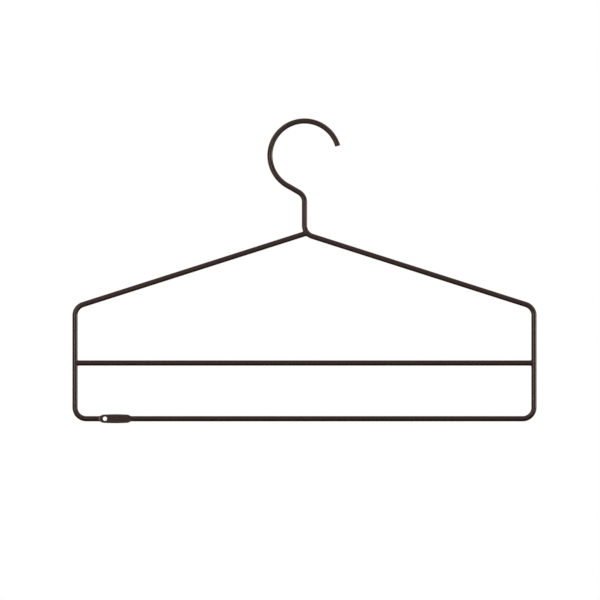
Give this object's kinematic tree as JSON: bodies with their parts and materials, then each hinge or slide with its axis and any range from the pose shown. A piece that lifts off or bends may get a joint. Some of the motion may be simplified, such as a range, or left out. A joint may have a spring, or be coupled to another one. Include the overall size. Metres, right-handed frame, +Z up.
{
  "type": "trouser hanger",
  "caption": "Bent steel wire clothes hanger: open hook, jogged neck, sloping shoulders, a welded crossbar and a bottom bar for trousers, and a coined flat with a tag hole.",
  "frame": {"origin": "where the hanger rests on a rail: the top of the hook's inner curve, in the middle of the wire's thickness", "axes": "+X along the shoulders towards the side on which the hook is open, +Y through the wire from the front to the back, +Z up the neck"},
  "size_m": [0.45, 0.0056, 0.2955],
  "materials": {
    "powder_coat": "satin fine-textured dark brown powder coat on steel wire",
    "weld_coat": "the same powder coat over a weld bead"
  },
  "bodies": {
    "root": {"frame_wire": "powder_coat", "crossbar": "powder_coat", "neck_weld": "weld_coat", "crossbar_weld_left": "weld_coat", "crossbar_weld_right": "weld_coat"}
  },
  "joints": []
}
